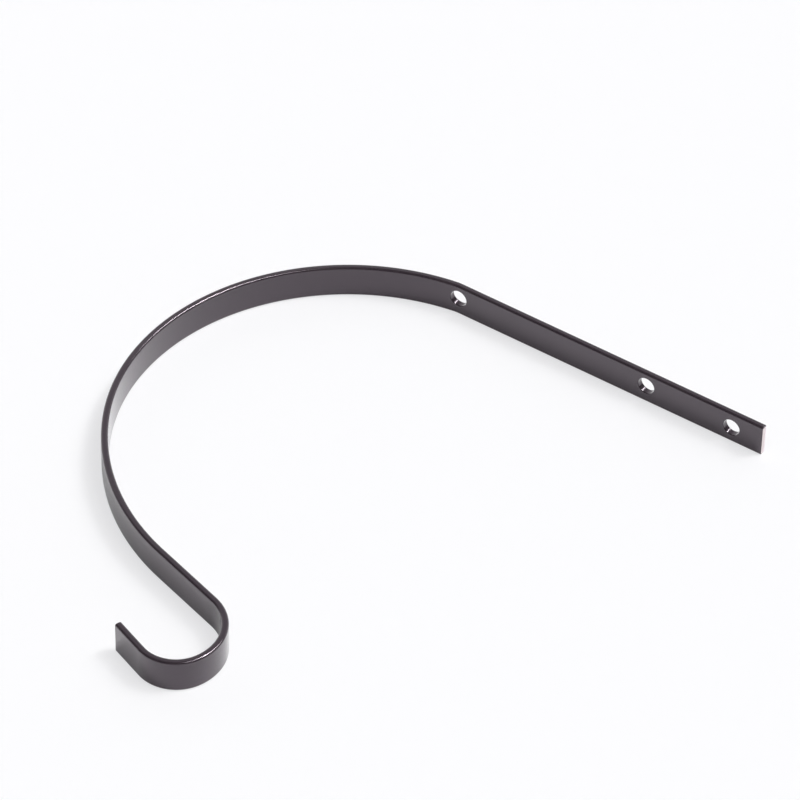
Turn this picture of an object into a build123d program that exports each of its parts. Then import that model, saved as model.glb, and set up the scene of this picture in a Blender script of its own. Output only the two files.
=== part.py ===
from build123d import *
import os

# Wall hook for a hanging plant: one flat steel bar, bent into a crook and a small hook.
#
# The bar lies on its edge, as it does on a table. X runs along the leg, away from the crook,
# and Z runs across the bar's width. The leg's back face lies in the plane Y = 0, which is the
# wall, and everything else is on its -Y side. The origin is the middle of that back face.
# Lengths are millimetres and angles are degrees.

# The flat bar, half an inch wide.
bar_width = 12.7
bar_thickness = 2.5
long_edge_radius = 0.8  # the long edges are round from the rolling mill
cut_edge_radius = 0.25  # the sheared ends are only softened

# The leg lies flat on the wall and carries three screw holes.
leg_length = 125.2
hole_diameter = 6.5
hole_rim_bevel = 0.25  # the burr of the punch is taken off both rims
end_hole_inset = 12.3  # from the leg's free end to the middle of the last hole
middle_hole_inset = 47.0  # from the leg's free end to the middle of the next hole
upper_hole_rise = 0.8  # the two holes nearer the crook are punched off the bar's middle line

# The bends are measured on the face that lies on the wall. That face goes round the outside
# of the crook, and then round the inside of the small hook, where the plant's ring sits.
bend_radius = 13.0
bend_angle = 8.5
crook_radius = 85.0
crook_angle = 110.5
outer_crook_radius = 95.0
outer_crook_angle = 44.5
reach_length = 29.0
seat_radius = 17.0
seat_angle = 96.5
tip_bend_radius = 12.5
tip_bend_angle = 87.5
tip_length = 14.0

# How far a cutting shape stands out of the faces that it cuts.
overrun = 1.0

# Two holes are set from the leg's end, and one is punched on the line where the bend starts.
leg_end = leg_length / 2
hole_places = [
    (leg_end - end_hole_inset, 0),
    (leg_end - middle_hole_inset, upper_hole_rise),
    (-leg_end, upper_hole_rise),
]

os.makedirs("parts", exist_ok=True)

with BuildPart() as hook_bar:
    # The bar seen on its edge. Each bend leaves along the line of the stretch before it,
    # so the whole bar is one smooth run, turning left in the crook and right in the hook.
    with BuildSketch(Plane.XY.offset(-bar_width / 2)) as edge_view:
        with BuildLine() as wall_face_line:
            leg = Line((leg_end, 0), (-leg_end, 0))
            bend = JernArc(leg @ 1, leg % 1, bend_radius, bend_angle)
            crook = JernArc(bend @ 1, bend % 1, crook_radius, crook_angle)
            outer_crook = JernArc(crook @ 1, crook % 1, outer_crook_radius, outer_crook_angle)
            reach = PolarLine(outer_crook @ 1, reach_length, direction=outer_crook % 1)
            seat = JernArc(reach @ 1, reach % 1, seat_radius, -seat_angle)
            tip_bend = JernArc(seat @ 1, seat % 1, tip_bend_radius, -tip_bend_angle)
            tip = PolarLine(tip_bend @ 1, tip_length, direction=tip_bend % 1)
            bar_length = sum(edge.length for edge in wall_face_line.edges())
            # The bar's thickness lies on the side away from the wall.
            offset(amount=bar_thickness, side=Side.LEFT, closed=True)
        make_face()
    extrude(amount=bar_width)

    # The long edges are rounded first. They stop square at the two sheared ends, which are
    # the smallest flat faces, and whose own edges are softened after that.
    sheared_ends = faces().filter_by(GeomType.PLANE).sort_by(SortBy.AREA)[:2]
    long_edges = faces().filter_by(Axis.Z).edges() - sheared_ends.edges()
    fillet(long_edges, radius=long_edge_radius)
    sheared_ends = faces().filter_by(GeomType.PLANE).sort_by(SortBy.AREA)[:2]
    fillet(sheared_ends.edges(), radius=cut_edge_radius)

    # The holes are punched square to the leg. They stop just past the bar, because straight
    # on from the leg lies the other side of the crook.
    with BuildSketch(Plane.XZ.offset(bar_thickness + overrun)) as screw_holes:
        with Locations(*hole_places):
            Circle(hole_diameter / 2)
    extrude(amount=-(overrun + bar_thickness + overrun), mode=Mode.SUBTRACT)
    hole_rims = edges(Select.LAST).filter_by(GeomType.LINE, reverse=True)
    chamfer(hole_rims, length=hole_rim_bevel)

hook_bar.part.label = "hook_bar"
hook_bar.part.color = Color(0.09, 0.085, 0.09)
export_step(hook_bar.part, "parts/hook_bar.step")

size = hook_bar.part.bounding_box().size
print(f"bar cut to {bar_length:.0f} mm, bent hook {size.X:.1f} x {size.Y:.1f} x {size.Z:.1f} mm")
print(f"volume {hook_bar.part.volume:.0f} cubic mm, tip at {(tip @ 1).X:.1f}, {(tip @ 1).Y:.1f}")
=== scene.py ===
# %% [markdown]
# A wall hook for a hanging plant
#
# The real object is one flat steel bar. The shop punches three screw holes in it, shears it to
# length, bends it cold into a wide crook with a small hook at the end, and paints it black. This
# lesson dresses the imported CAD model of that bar: a smooth mesh worked out with numpy, one paint
# made with shader nodes, and a pale studio with the camera where the photograph has it.
#
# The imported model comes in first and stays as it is. Everything else is built round it, in metres
# and in the same frame: X runs along the leg, the wall is the plane Y = 0, and Z is up.

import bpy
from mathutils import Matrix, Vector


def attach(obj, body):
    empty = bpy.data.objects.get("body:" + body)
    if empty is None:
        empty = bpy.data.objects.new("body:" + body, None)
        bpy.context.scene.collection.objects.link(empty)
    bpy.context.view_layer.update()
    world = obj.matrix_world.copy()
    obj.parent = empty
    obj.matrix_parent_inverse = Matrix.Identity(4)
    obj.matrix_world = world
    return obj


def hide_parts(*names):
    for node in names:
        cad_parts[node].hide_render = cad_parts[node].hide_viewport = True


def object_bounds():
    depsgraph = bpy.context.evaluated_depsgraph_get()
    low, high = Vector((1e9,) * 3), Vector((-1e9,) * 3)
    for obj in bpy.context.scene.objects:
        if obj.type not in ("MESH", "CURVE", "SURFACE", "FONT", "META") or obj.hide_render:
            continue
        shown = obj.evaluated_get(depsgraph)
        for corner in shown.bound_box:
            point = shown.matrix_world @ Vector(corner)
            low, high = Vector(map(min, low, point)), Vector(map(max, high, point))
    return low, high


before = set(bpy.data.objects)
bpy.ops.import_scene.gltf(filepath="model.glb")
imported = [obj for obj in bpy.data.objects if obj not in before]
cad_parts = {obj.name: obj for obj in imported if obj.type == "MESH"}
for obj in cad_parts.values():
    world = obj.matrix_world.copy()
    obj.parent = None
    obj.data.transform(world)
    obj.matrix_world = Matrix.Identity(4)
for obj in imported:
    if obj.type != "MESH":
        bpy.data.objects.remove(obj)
cad_box = [list(corner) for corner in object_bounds()]

import math

import bmesh
import bpy
import numpy as np
from mathutils import Matrix, Vector

mm = 0.001
print("nodes in the frame:", sorted(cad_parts))
print("CAD box in mm:", [[round(c / mm, 2) for c in corner] for corner in cad_box])

# %% [markdown]
# The line that the bar follows
#
# A bar that is bent keeps its section and only changes direction, so the whole shape is one line
# of straights and arcs. The line could be drawn as a curve object, but its bends would then be
# handles and not radii. Here each stretch has its length and its turn, as a bender would set
# them. The line lies on the face that touches the wall. It starts at the leg's free end and heads
# towards -X.

# %% The stretches of the bar
leg_length = 125.2 * mm
bend_radius, bend_turn = 13.0 * mm, math.radians(8.5)
crook_radius, crook_turn = 85.0 * mm, math.radians(110.5)
outer_crook_radius, outer_crook_turn = 95.0 * mm, math.radians(44.5)
reach_length = 29.0 * mm
seat_radius, seat_turn = 17.0 * mm, math.radians(-96.5)
tip_bend_radius, tip_bend_turn = 12.5 * mm, math.radians(-87.5)
tip_length = 14.0 * mm

stretches = [
    (leg_length, 0.0),
    (bend_radius * abs(bend_turn), bend_turn),
    (crook_radius * abs(crook_turn), crook_turn),
    (outer_crook_radius * abs(outer_crook_turn), outer_crook_turn),
    (reach_length, 0.0),
    (seat_radius * abs(seat_turn), seat_turn),
    (tip_bend_radius * abs(tip_bend_turn), tip_bend_turn),
    (tip_length, 0.0),
]
lengths = np.array([length for length, turn in stretches])
turns = np.array([turn for length, turn in stretches])


def chord(length, heading, turn):
    """The step from the start of an arc to its end. It is as long as the arc times
    sin(turn / 2) / (turn / 2), and it points along the heading plus half the turn.
    A straight is an arc that doesn't turn, so one formula does for both."""
    step = length * np.sinc(turn / 2 / np.pi)
    return np.stack([step * np.cos(heading + turn / 2), step * np.sin(heading + turn / 2)], -1)


leg_heading = math.pi
start_of = np.concatenate([[0.0], np.cumsum(lengths)])
heading_of = leg_heading + np.concatenate([[0.0], np.cumsum(turns)])
steps = np.cumsum(chord(lengths, heading_of[:-1], turns), 0)
place_of = np.array([leg_length / 2, 0.0]) + np.concatenate([np.zeros((1, 2)), steps])
bar_length = start_of[-1]


def bend(along, rise, depth):
    """Where a point of the flat bar goes when the bar is bent. The place is the line's point that
    far along it, plus the depth times the line's left normal. The rise is kept as Z."""
    along, rise, depth = np.broadcast_arrays(along, rise, depth)
    which = np.clip(np.searchsorted(start_of, along, side="right") - 1, 0, len(stretches) - 1)
    gone = along - start_of[which]
    turned = turns[which] * gone / lengths[which]
    heading = heading_of[which] + turned
    normal = np.stack([-np.sin(heading), np.cos(heading)], -1)
    flat = place_of[which] + chord(gone, heading_of[which], turned) + depth[..., None] * normal
    return np.concatenate([flat, rise[..., None]], -1)


tip_place = bend(bar_length, 0.0, 0.0) / mm
print(f"the bar is {bar_length / mm:.1f} mm long, and its tip ends at {tip_place.round(1)} mm")

# %% [markdown]
# The section of the bar
#
# The strip comes from the mill with round long edges. A profile carried along a path suits it: one
# closed ring of points goes round the section and is repeated at every station along the bar. The
# ring has an extra point just inside each round edge. Those points hold the wide faces flat, so
# that smooth shading doesn't spread the edge's curve over them.

# %% The ring of points round the section
bar_width = 12.7 * mm
bar_thickness = 2.5 * mm
edge_radius = 0.8 * mm
hold = 0.08 * mm
wide_steps, narrow_steps, edge_steps = 17, 3, 8


def held(low, high, count):
    """Even steps from low to high, with the first and last drawn in by the holding distance, and
    the two ends themselves added outside them."""
    return np.concatenate([[low], np.linspace(low + hold, high - hold, count), [high]])


quarter_turn = math.pi / 2
flat_rise = bar_width / 2 - edge_radius
wide = held(-flat_rise, flat_rise, wide_steps)
narrow = held(edge_radius, bar_thickness - edge_radius, narrow_steps)
corner_turn = np.linspace(0, quarter_turn, edge_steps + 1)[1:-1]


def section(inset):
    """The ring as rows of rise, depth and how far the point is up the edge's crest. The corners
    are quarter circles: centre plus radius times cosine and sine. The whole ring is drawn in by
    the inset, which makes the corners' radius that much smaller."""
    radius = edge_radius - inset
    near, far = edge_radius, bar_thickness - edge_radius
    crest = np.sin(2 * corner_turn)
    sides = [
        (wide, inset + 0 * wide, 0 * wide),
        (flat_rise + radius * np.sin(corner_turn), near - radius * np.cos(corner_turn), crest),
        (bar_width / 2 - inset + 0 * narrow, narrow, 0 * narrow),
        (flat_rise + radius * np.cos(corner_turn), far + radius * np.sin(corner_turn), crest),
        (wide[::-1], bar_thickness - inset + 0 * wide, 0 * wide),
        (-flat_rise - radius * np.sin(corner_turn), far + radius * np.cos(corner_turn), crest),
        (inset - bar_width / 2 + 0 * narrow, narrow[::-1], 0 * narrow),
        (-flat_rise - radius * np.cos(corner_turn), near - radius * np.sin(corner_turn), crest),
    ]
    return np.concatenate([np.stack(side, -1) for side in sides])


# Both lists of columns go from the bottom of a wide face to its top.
ring_size = len(section(0.0))
wall_columns = np.arange(len(wide))
away_start = len(wide) + 2 * len(corner_turn) + len(narrow)
away_columns = away_start + len(wide) - 1 - np.arange(len(wide))
print(f"the ring has {ring_size} points, {len(wide)} of them on each wide face")

# %% [markdown]
# The stations along the bar
#
# Round each screw hole the stations are even, because a window of the grid is taken out there.
# One station more lies in the last window, where the small bend ends. At each sheared end the
# ring draws in along a quarter circle, which softens the rim. The grid is worked out as whole
# arrays: along, rise and depth for the flat bar first, and then bent.

# %% The stations
end_hole_inset, middle_hole_inset = 12.3 * mm, 47.0 * mm
upper_hole_rise = 0.8 * mm
hole_places = [
    (end_hole_inset, 0.0),
    (middle_hole_inset, upper_hole_rise),
    (leg_length, upper_hole_rise),
]
window_reach = 5.2 * mm
window_steps = 18
end_radius = 0.25 * mm
station_step = 0.75 * mm
place_decimals = 9


def snap(places):
    """Places in metres, rounded to the nanometre, so that equal ones compare as equal."""
    return places.round(place_decimals)


windows = [
    np.linspace(place - window_reach, place + window_reach, window_steps + 1)
    for place, rise in hole_places
]
marks = np.concatenate([[end_radius, end_radius + hold], *windows, start_of[2:-1]])
marks = np.append(marks, [bar_length - end_radius - hold, bar_length - end_radius])
marks = np.unique(snap(marks))
counts = np.ceil(np.diff(marks) / station_step).astype(int)
spans = [
    np.linspace(low, high, count, endpoint=False)
    for low, high, count in zip(marks, marks[1:], counts)
]
stations = np.concatenate([*spans, marks[-1:]])
print(f"{len(stations)} stations between {marks[0] / mm:.2f} and {marks[-1] / mm:.2f} mm")

# %% The grid of the flat bar
end_steps = 5
end_turn = np.linspace(0, quarter_turn, end_steps + 1)[1:]
end_along = end_radius * (1 - np.sin(end_turn))
end_inset = end_radius * (1 - np.cos(end_turn))
along = np.concatenate([end_along[::-1], stations, bar_length - end_along])
inset = np.concatenate([end_inset[::-1], 0 * stations, end_inset])
end_crest = np.concatenate([np.sin(2 * end_turn)[::-1], 0 * stations, np.sin(2 * end_turn)])
rings = np.stack([section(drawn) for drawn in inset])
along_column = np.broadcast_to(along[:, None, None], rings.shape[:2] + (1,))
flat_grid = np.concatenate([along_column, rings], -1)
flat_grid[..., 3] = np.maximum(flat_grid[..., 3], end_crest[:, None])
grid_number = np.arange(flat_grid[..., 0].size).reshape(flat_grid.shape[:2])
print(f"{len(along)} stations give {grid_number.size} points")

# %% [markdown]
# The faces, and the windows left open for the holes
#
# Four neighbouring points make one face. A quad is left out where a hole comes, on both wide faces.
# Cutting the holes with a boolean would be shorter, but it leaves long thin faces that spoil the
# gloss round each hole. Rings of quads that turn from a nearly square window into a circle stay
# smooth.


# %% The faces of a grid
def quads(number, closed=False):
    """The faces of a grid of point numbers: each joins point (i, j) to its next ones in both
    directions. A closed grid also joins its last column to its first."""
    if closed:
        number = np.concatenate([number, number[:, :1]], 1)
    corners = [number[:-1, :-1], number[1:, :-1], number[1:, 1:], number[:-1, 1:]]
    return np.stack(corners, -1)


skin = quads(grid_number, closed=True)
kept = np.ones(skin.shape[:2], bool)
window_rows = [np.flatnonzero(np.isin(snap(along), snap(places))) for places in windows]
for rows in window_rows:
    for columns in (wall_columns, away_columns):
        low, high = sorted((columns[1], columns[-2]))
        kept[rows[0]:rows[-1], low:high] = False
faces = [skin[kept]]
print(f"{(~kept).sum()} quads are left out for the holes")

# %% [markdown]
# The three screw holes
#
# A punch goes straight through, square to the leg, so both rims of a hole have the same place in
# X and Z, even where the bar already bends. Each hole is one closed grid. It starts at the window
# in the wall face, narrows to the rim, rolls over it by a quarter circle, goes down the wall of the
# hole and comes out the same way on the other face.

# %% The height of a face, and the points round a window
leg_table_size = 6000
leg_table = np.linspace(0.0, leg_length + 2 * window_reach, leg_table_size)
print(f"the faces are read every {leg_table[1] / mm:.3f} mm along the leg")


def face_height(x, depth):
    """The Y of the bar's face at a given X near the leg, read from a fine table of bent points."""
    table = bend(leg_table, 0.0, depth)
    return np.interp(x, table[::-1, 0], table[::-1, 1])


def window_loop(rows, columns):
    """The point numbers round a window, in order: up one side, across, down and back."""
    low, high = columns[1], columns[-2]
    inner = columns[1:-1]
    return np.concatenate([
        grid_number[rows[:-1], low], grid_number[rows[-1], inner[:-1]],
        grid_number[rows[:0:-1], high], grid_number[rows[0], inner[:0:-1]],
    ])


# %% The points of one hole
hole_radius = 3.25 * mm
rim_radius = 0.25 * mm
rim_steps = 5
rim_turn = np.linspace(0, quarter_turn, rim_steps + 1)
face_shares = np.array([0.3, 0.6, 0.85, 0.96])
wall_shares = np.array([0.15, 0.5, 0.85])
row_count = 2 * (len(face_shares) + len(rim_turn)) + len(wall_shares)
print(f"a hole has {row_count} rows of points from one face to the other")


def hole_points(centre, wall_loop, away_loop):
    """The points between two window loops, as rows of X, Y, Z, and how far up a crest each row is.
    On a face, a row lies a share of the way from the window to the rim's outer circle. Over the
    rim, the radius is the hole's plus r times (1 - sin) and the depth is r times (1 - cos)."""
    from_centre = wall_loop[:, [0, 2]] - centre
    angle = np.arctan2(from_centre[:, 1], from_centre[:, 0])
    spoke = np.stack([np.cos(angle), np.sin(angle)], -1)
    outer = centre + (hole_radius + rim_radius) * spoke
    share = face_shares[:, None, None]
    rim = hole_radius + rim_radius * (1 - np.sin(rim_turn))
    sunk = rim_radius * (1 - np.cos(rim_turn))
    rim_xz = centre + rim[:, None, None] * spoke
    rows = []
    for loop, depth, inward in ((wall_loop, 0.0, -1), (away_loop, bar_thickness, 1)):
        flat_xz = (1 - share) * loop[:, [0, 2]] + share * outer
        xz = np.concatenate([flat_xz, rim_xz])
        down = np.concatenate([0 * face_shares, sunk])[:, None]
        y = face_height(xz[..., 0], depth) + inward * down
        rows.append(np.stack([xz[..., 0], y, xz[..., 1]], -1))
    wall_side, away_side = rows
    share = wall_shares[:, None, None]
    middle = (1 - share) * wall_side[-1] + share * away_side[-1]
    crest_of = np.concatenate([0 * face_shares, np.sin(2 * rim_turn)])
    crest = np.concatenate([crest_of, 0 * wall_shares, crest_of[::-1]])
    return np.concatenate([wall_side, middle, away_side[::-1]]), crest


# %% Make the three holes
points = [bend(*np.moveaxis(flat_grid[..., :3], -1, 0)).reshape(-1, 3)]
crests = [flat_grid[..., 3].ravel()]
blanks = [flat_grid[..., :3].reshape(-1, 3)]
first_free = grid_number.size
for (hole_along, rise), rows in zip(hole_places, window_rows):
    loops = [window_loop(rows, wall_columns), window_loop(rows, away_columns)]
    centre = np.array([leg_length / 2 - hole_along, rise])
    made, crest = hole_points(centre, points[0][loops[0]], points[0][loops[1]])
    number = first_free + np.arange(made[..., 0].size).reshape(made.shape[:2])
    hole_grid = np.concatenate([loops[0][None], number, loops[1][None]])
    faces.append(quads(hole_grid, closed=True).reshape(-1, 4))
    points.append(made.reshape(-1, 3))
    crests.append(np.repeat(crest, made.shape[1]))
    blank_places = [leg_length / 2 - made[..., 0], made[..., 2], -made[..., 1]]
    blanks.append(np.stack(blank_places, -1).reshape(-1, 3))
    first_free += number.size
    print(f"hole at {hole_along / mm:.1f} mm: {number.size} points")

# %% [markdown]
# The two sheared ends
#
# The last ring of each end is closed by a flat. One more ring, drawn in a little further, holds it
# flat up to its rim. Strips then join each point to the one across the bar's thickness, because
# the ring is the same on both sides of its middle.

# %% Close the ends
cap_inset = end_radius + hold
bottom_middle = away_start + len(wide) + len(corner_turn) + len(narrow) // 2
across = (bottom_middle + np.arange(ring_size // 2 + 1)) % ring_size
opposite = (bottom_middle - np.arange(ring_size // 2 + 1)) % ring_size
cuts = [np.zeros(first_free)]
cuts[0][grid_number[[0, -1]].ravel()] = 1.0
triangles = []
for row, place in ((0, 0.0), (-1, bar_length)):
    ring = section(cap_inset)[:, :2]
    flat_ring = np.concatenate([np.full((ring_size, 1), place), ring], -1)
    number = first_free + np.arange(ring_size)
    faces.append(quads(np.stack([grid_number[row], number]), closed=True).reshape(-1, 4))
    strips = quads(np.stack([number[across[1:-1]], number[opposite[1:-1]]]))
    faces.append(strips.reshape(-1, 4))
    for end, beside in ((0, 1), (-1, -2)):
        triangles.append([number[across[end]], number[across[beside]], number[opposite[beside]]])
    points.append(bend(*flat_ring.T))
    blanks.append(flat_ring)
    crests.append(np.zeros(ring_size))
    cuts.append(np.ones(ring_size))
    first_free += ring_size
print(f"{len(triangles)} triangles close the ends' narrow sides")

# %% [markdown]
# Put the mesh together
#
# The points are shared between the grids, so there are no doubles to merge. Every edge has two
# faces but for twelve: where the bend ends, inside the last window, the hole's grid passes one
# station by. Four seams stay open there, each under 0.6 mm long and about 0.001 mm wide. Blender
# turns the faces outwards. Three values stay with each point for the paint: the place on the flat
# bar, how near it is to the crest of an edge, and whether it is on a cut face.

# %% The bar's object
mesh = bpy.data.meshes.new("bent_bar")
quad_faces = np.concatenate(faces)
mesh.from_pydata(np.concatenate(points), [], quad_faces.tolist() + triangles)
work = bmesh.new()
work.from_mesh(mesh)
bmesh.ops.recalc_face_normals(work, faces=work.faces)
open_edges = sum(not edge.is_manifold for edge in work.edges)
volume = work.calc_volume(signed=True)
work.to_mesh(mesh)
work.free()
mesh.shade_smooth()

for name, kind, field, values in (
    ("blank", "FLOAT_VECTOR", "vector", np.concatenate(blanks)),
    ("crest", "FLOAT", "value", np.concatenate(crests)),
    ("cut", "FLOAT", "value", np.concatenate(cuts)),
):
    layer = mesh.attributes.new(name, kind, "POINT")
    layer.data.foreach_set(field, np.ascontiguousarray(values, np.float32).ravel())

bar = bpy.data.objects.new("bent_bar", mesh)
bpy.context.scene.collection.objects.link(bar)
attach(bar, "root")
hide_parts("hook_bar")
print(f"{len(mesh.polygons)} faces, {open_edges} open edges, {volume / mm ** 3:.0f} cubic mm")

# %% [markdown]
# Sums with shader sockets
#
# A material is easier to read as sums than as a tangle of nodes. This small class holds one output
# socket. Its operators add Math nodes, and one method adds every other node: the settings are set
# first, and then the values or links of its sockets.


# %% A socket that can be used in sums
class Wire:
    """One output socket of a node tree, or only the tree where there is no socket yet."""

    def __init__(self, tree, socket=None):
        self.tree, self.socket = tree, socket

    def node(self, kind, settings=None, inputs=None, output=0):
        """Adds a node of a kind, with its settings and then its sockets, and gives one output."""
        made = self.tree.nodes.new(kind)
        for name, value in (settings or {}).items():
            setattr(made, name, value)
        for name, value in (inputs or {}).items():
            if isinstance(value, Wire):
                self.tree.links.new(value.socket, made.inputs[name])
            else:
                made.inputs[name].default_value = value
        return Wire(self.tree, made.outputs[output] if made.outputs else None)

    def math(self, operation, *values):
        """A Math node on these values."""
        return self.node("ShaderNodeMath", {"operation": operation}, dict(enumerate(values)))

    def __add__(self, other):
        return self.math("ADD", self, other)

    def __sub__(self, other):
        return self.math("SUBTRACT", self, other)

    def __rsub__(self, other):
        return self.math("SUBTRACT", other, self)

    def __mul__(self, other):
        return self.math("MULTIPLY", self, other)

    __radd__, __rmul__ = __add__, __mul__

    def between(self, low, high):
        """0 below low and 1 above high, with a smooth step between them."""
        settings = {"interpolation_type": "SMOOTHSTEP"}
        inputs = {"Value": self, "From Min": low, "From Max": high}
        return self.node("ShaderNodeMapRange", settings, inputs)

    def mix(self, first, second):
        """The first colour where this is 0, and the second where it is 1."""
        settings = {"data_type": "RGBA"}
        return self.node("ShaderNodeMix", settings, {0: self, 6: first, 7: second}, output=2)

    def noise(self, place, scale, detail=2.0):
        """Noise from 0 to 1, with so many waves in a metre."""
        inputs = {"Vector": place, "Scale": scale, "Detail": detail}
        return self.node("ShaderNodeTexNoise", None, inputs)


print("Wire can add, subtract and multiply sockets")

# %% [markdown]
# The black paint
#
# The bar is dipped or sprayed in one smooth semi-gloss black. On the real one the paint is a little
# uneven: it pulls thin over the edges, it lies in a fine orange peel on the wide faces, and it
# catches a few grains of dust. One Principled shader carries all of it: a nearly black base with a
# pinkish tint in its gloss, under a thin clear coat that mirrors softly. The patterns are read on
# the flat bar's own coordinates, so they follow the bar round every bend.

# %% Where the patterns are read
paint = bpy.data.materials.new("black_paint")
paint.use_nodes = True
tree = paint.node_tree
tree.nodes.clear()
start = Wire(tree)
blank = start.node("ShaderNodeAttribute", {"attribute_name": "blank"}, output="Vector")
crest = start.node("ShaderNodeAttribute", {"attribute_name": "crest"}, output="Fac")
cut = start.node("ShaderNodeAttribute", {"attribute_name": "cut"}, output="Fac")
long_waves = (0.06, 1.0, 1.0)
drawn = start.node("ShaderNodeMapping", None, {"Vector": blank, "Scale": long_waves})
print("the place on the bar is read by", len(tree.nodes), "nodes")

# %% Patterns in the paint
peel_scale, fine_peel_scale, mill_scale = 620.0, 2600.0, 1900.0
cloud_scale, edge_scale, grain_scale = 45.0, 260.0, 210.0
thin_from, thin_to = 0.3, 0.8
lump_reach = 0.045

peel = start.noise(blank, peel_scale)
fine_peel = start.noise(blank, fine_peel_scale)
mill_lines = start.noise(drawn, mill_scale, detail=3.0)
clouds = start.noise(blank, cloud_scale, detail=3.0)
thin_edge = crest * start.noise(blank, edge_scale, detail=4.0).between(thin_from, thin_to)
grain = start.node("ShaderNodeTexVoronoi", None, {"Vector": blank, "Scale": grain_scale})
lump = 1 - grain.between(0.0, lump_reach)
print("the paint reads", len(tree.nodes), "nodes of pattern so far")

# %% [markdown]
# The sheared ends
#
# The photograph shows the leg's end nearly white against the black: the strip is sheared after it
# is painted, and bare steel shows. A sheared face has two bands. The blade rubs the first third
# bright, with fine lines across the thickness, and the rest breaks off and stays dull and grainy.
# At the top of the cut the photograph has a dark rim, where the paint laps over the edge.

# %% The bare steel of the cut
uneven_scale, scratch_scale = 900.0, 5200.0
waves_across = (1.0, 1.0, 0.08)
broken_from, broken_to, broken_sway = 1.0 * mm, 1.25 * mm, 0.5 * mm
lap_from, lap_to, lap_sway = 5.75 * mm, 5.95 * mm, 0.4 * mm
cut_from, cut_to = 0.45, 0.6
rubbed_steel, broken_steel = (0.86, 0.83, 0.80, 1.0), (0.76, 0.73, 0.70, 1.0)
rubbed_roughness, broken_adds, scratches_add = 0.28, 0.2, 0.1

depth_on_cut = start.node("ShaderNodeSeparateXYZ", None, {"Vector": blank}, output="Z")
rise_on_cut = start.node("ShaderNodeSeparateXYZ", None, {"Vector": blank}, output="Y")
uneven = start.noise(blank, uneven_scale, detail=3.0)
broken = (depth_on_cut + uneven * broken_sway).between(broken_from, broken_to)
lapped = (rise_on_cut + uneven * lap_sway).between(lap_from, lap_to)
blade_lines = start.node("ShaderNodeMapping", None, {"Vector": blank, "Scale": waves_across})
scratches = start.noise(blade_lines, scratch_scale)
steel = broken.mix(rubbed_steel, broken_steel)
steel_roughness = rubbed_roughness + broken_adds * broken + scratches_add * scratches
bare = cut.between(cut_from, cut_to) * (1 - lapped)
print("with the cut's steel the paint has", len(tree.nodes), "nodes")

# %% Colour and gloss of the paint
darker_paint, paler_paint = (0.0250, 0.0170, 0.0238, 1.0), (0.0300, 0.0210, 0.0287, 1.0)
thin_paint = (0.034, 0.027, 0.030, 1.0)
least_roughness, clouds_add, thin_edge_adds, mill_lines_add = 0.13, 0.05, 0.04, 0.02

full_paint = clouds.mix(darker_paint, paler_paint)
paint_colour = thin_edge.mix(full_paint, thin_paint)
colour = bare.mix(paint_colour, steel)
paint_roughness = least_roughness + clouds_add * clouds + thin_edge_adds * thin_edge
paint_roughness = paint_roughness + mill_lines_add * mill_lines
roughness = paint_roughness + bare * (steel_roughness - paint_roughness)
print("with its colour and gloss the paint has", len(tree.nodes), "nodes")

# %% Relief, and everything together
peel_height, fine_peel_height, mill_height, lump_height = 0.6, 0.12, 0.1, 2.2
smoothed_on_crest = 0.7
scratch_height = 0.4
paint_relief, cut_relief = 4.0e-6, 2.0e-5

uneven_paint = peel * peel_height + fine_peel * fine_peel_height + mill_lines * mill_height
uneven_paint = (uneven_paint + lump * lump_height) * (1 - smoothed_on_crest * crest)
paint_bump = start.node(
    "ShaderNodeBump", None,
    {"Height": uneven_paint * (1 - bare), "Distance": paint_relief, "Strength": 1.0},
)
uneven_cut = (scratches * scratch_height + uneven * broken) * bare
bump = start.node(
    "ShaderNodeBump", None,
    {"Height": uneven_cut, "Distance": cut_relief, "Strength": 1.0, "Normal": paint_bump},
)
surface = start.node("ShaderNodeBsdfPrincipled", None, {
    "Base Color": colour, "Roughness": roughness, "Metallic": bare, "Normal": bump,
    "IOR": 1.5, "Specular Tint": (1.0, 0.78, 0.97, 1.0),
    "Coat Weight": 1 - bare, "Coat IOR": 1.45, "Coat Roughness": 0.2,
})
start.node("ShaderNodeOutputMaterial", None, {"Surface": surface})
mesh.materials.append(paint)
print("the paint has", len(tree.nodes), "nodes")

# %% [markdown]
# The studio
#
# The photograph has a white table that runs on without an edge, and it is exposed so brightly that
# the table's shadows nearly drown. The floor here has that pale colour. For the camera, part of it
# glows plainly in the same colour, which thins the shadows without any more light on the bar, and
# a smaller part glows for what the gloss mirrors.

# %% The floor
floor_colour = (0.972, 0.972, 0.988, 1.0)
floor_reach = 14.0
shadow_lift, mirrored_lift = 0.68, 0.16
floor_z = cad_box[0][2]
square = np.array([[-1, -1, 0], [1, -1, 0], [1, 1, 0], [-1, 1, 0]])
corners = floor_reach * square + [0, 0, floor_z]
floor_mesh = bpy.data.meshes.new("floor")
floor_mesh.from_pydata(corners, [], [[0, 1, 2, 3]])
floor = bpy.data.objects.new("floor", floor_mesh)
bpy.context.scene.collection.objects.link(floor)
floor_paint = bpy.data.materials.new("pale_floor")
floor_paint.use_nodes = True
floor_paint.node_tree.nodes.clear()
on_floor = Wire(floor_paint.node_tree)
matt = on_floor.node("ShaderNodeBsdfDiffuse", None, {"Color": floor_colour})
plain = on_floor.node("ShaderNodeEmission", None, {"Color": floor_colour, "Strength": 1.0})
seen = on_floor.node("ShaderNodeLightPath", output="Is Camera Ray")
mirrored = on_floor.node("ShaderNodeLightPath", output="Is Glossy Ray")
lift = seen * shadow_lift + mirrored * mirrored_lift
lifted = on_floor.node("ShaderNodeMixShader", None, {0: lift, 1: matt, 2: plain})
on_floor.node("ShaderNodeOutputMaterial", None, {"Surface": lifted})
floor_mesh.materials.append(floor_paint)
print(f"the floor is {2 * floor_reach:.0f} m wide and lies at {floor_z / mm:.2f} mm")

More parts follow.
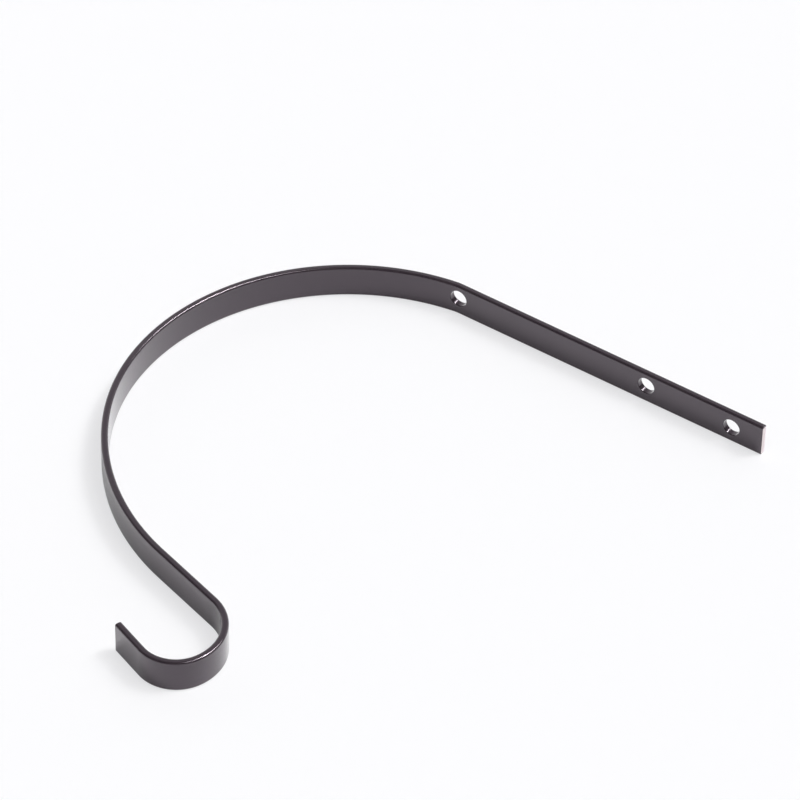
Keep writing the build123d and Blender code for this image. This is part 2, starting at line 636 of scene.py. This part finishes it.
# %% [markdown]
# The room
#
# A glossy black shows mostly what it mirrors, so the room matters as much as the paint. It is dim,
# with a pale stretch low down behind the bar that the top edges mirror, and close to the horizon
# it has the floor's own colour, so that a low view shows no line there.


# %% A direction as a vector
def direction(azimuth, elevation):
    """The unit vector at an azimuth, from +X towards +Y, and an elevation, both in degrees: cosine
    and sine of the azimuth times the cosine of the elevation, and the sine of the elevation."""
    turn, climb = math.radians(azimuth), math.radians(elevation)
    flat = math.cos(climb)
    return Vector((math.cos(turn) * flat, math.sin(turn) * flat, math.sin(climb)))


print("straight up is", [round(c, 6) for c in direction(0, 90)])

# %% The room round the table
# Sideways the limits are cosines of the angle from the middle of the pale stretch. Upwards they
# are sines of the elevation.
room_dim, room_bright = 0.12, 0.75
back_azimuth = 124
side_from, side_to = 0.3, 0.6
top_from, top_to = 0.5, 0.95
horizon_from, horizon_to = math.sin(math.radians(1.5)), math.sin(math.radians(4))

world = bpy.data.worlds.new("studio")
bpy.context.scene.world = world
world.use_nodes = True
world.node_tree.nodes.clear()
sky = Wire(world.node_tree)
way = sky.node("ShaderNodeTexCoord", output="Generated")
height = sky.node("ShaderNodeSeparateXYZ", None, {"Vector": way}, output="Z")
both_ways = {0: way, 1: direction(back_azimuth, 0)}
to_back = sky.node("ShaderNodeVectorMath", {"operation": "DOT_PRODUCT"}, both_ways, output="Value")
pale_back = to_back.between(side_from, side_to) * (1 - height.between(top_from, top_to))
room = room_dim + (room_bright - room_dim) * pale_back
above = height.between(horizon_from, horizon_to)
shade = above.mix(floor_colour, room)
glow = sky.node("ShaderNodeBackground", None, {"Color": shade, "Strength": 1.0})
sky.node("ShaderNodeOutputWorld", None, {"Surface": glow})
print("the room has", len(world.node_tree.nodes), "nodes")

# %% [markdown]
# The lamps
#
# The light comes from a slanting row of soft lights, from high up on the right to lower down at the
# back right, and a broad light above the camera fills in. Sun lamps with a wide angle suit this,
# because they light the floor evenly as far as it goes. A sun is given here by its share of the
# floor's light, and all the shares and the room's own light add up to about one, so that a colour
# renders about as it is written. The rounded edges mirror the row as one thin bright line. The
# photograph's exposure makes that line brighter than the shares do, so each light of the row has a
# twin that only shows in reflections. The first twin has no strength, as the line fades out there.

# %% One lamp
lamp_distance = 2.0


def soft_light(name, azimuth, elevation, width, share):
    """A sun lamp in a direction, seen width degrees wide. Its strength is pi times the share of the
    floor's light that it gives, over sin(elevation)."""
    lamp = bpy.data.lights.new(name, "SUN")
    lamp.angle = math.radians(width)
    lamp.energy = math.pi * share / math.sin(math.radians(elevation))
    holder = bpy.data.objects.new(name, lamp)
    back = direction(azimuth, elevation)
    holder.rotation_euler = back.to_track_quat("Z", "Y").to_euler()
    holder.location = lamp_distance * back
    bpy.context.scene.collection.objects.link(holder)
    print(f"{name}: strength {lamp.energy:.2f}")
    return holder


overhead = soft_light("overhead_light", azimuth=-56, elevation=65, width=40, share=0.15)
overhead.visible_glossy = False

# %% The row of lamps and their twins
row_width = 6.5
light_count = 10
row_marks = range(4)
row_place = np.linspace(row_marks[0], row_marks[-1], light_count)
row_azimuth = np.interp(row_place, row_marks, (12, 36, 47, 62))
row_elevation = np.interp(row_place, row_marks, (75, 64, 57, 44))
row_share = np.interp(row_place, row_marks, (0.048, 0.079, 0.098, 0.018))
row_glint = np.interp(row_place, row_marks, (0.0, 0.065, 0.085, 0.035))
row = zip(row_azimuth, row_elevation, row_share, row_glint)
for number, (azimuth, elevation, share, glint_share) in enumerate(row, 1):
    soft_light(f"side_light_{number}", azimuth, elevation, row_width, share)
    glint = soft_light(f"glint_{number}", azimuth, elevation, row_width, glint_share)
    glint.visible_diffuse = False

# %% [markdown]
# The camera
#
# The photograph was taken with a long lens from above the front of the crook. The view was worked
# out from the bar's own outline: the direction, the distance, the lens and the small roll that put
# all its edges where the picture has them.

# %% The camera
camera_azimuth, camera_elevation, camera_roll = 33.566, 42.811, 1.297
camera_distance = 1818.67 * mm
aim = Vector((-53.69, -51.65, -5.92)) * mm
lens, sensor = 236.33, 36.0

# The azimuth is where the camera's right side points. Its back points a quarter turn before that.
right = direction(camera_azimuth, 0)
back = direction(camera_azimuth - 90, camera_elevation)
up = back.cross(right)
rolled = Matrix.Rotation(math.radians(camera_roll), 3, back)
camera_data = bpy.data.cameras.new("camera")
camera_data.lens, camera_data.sensor_width = lens, sensor
camera_data.clip_end = 50.0
camera = bpy.data.objects.new("camera", camera_data)
axes = rolled @ Matrix((right, up, back)).transposed()
camera.matrix_world = Matrix.Translation(aim + camera_distance * back) @ axes.to_4x4()
bpy.context.scene.collection.objects.link(camera)
bpy.context.scene.camera = camera
bpy.context.scene.view_settings.view_transform = "Standard"
print("camera at", [round(c / mm) for c in camera.matrix_world.translation], "mm")
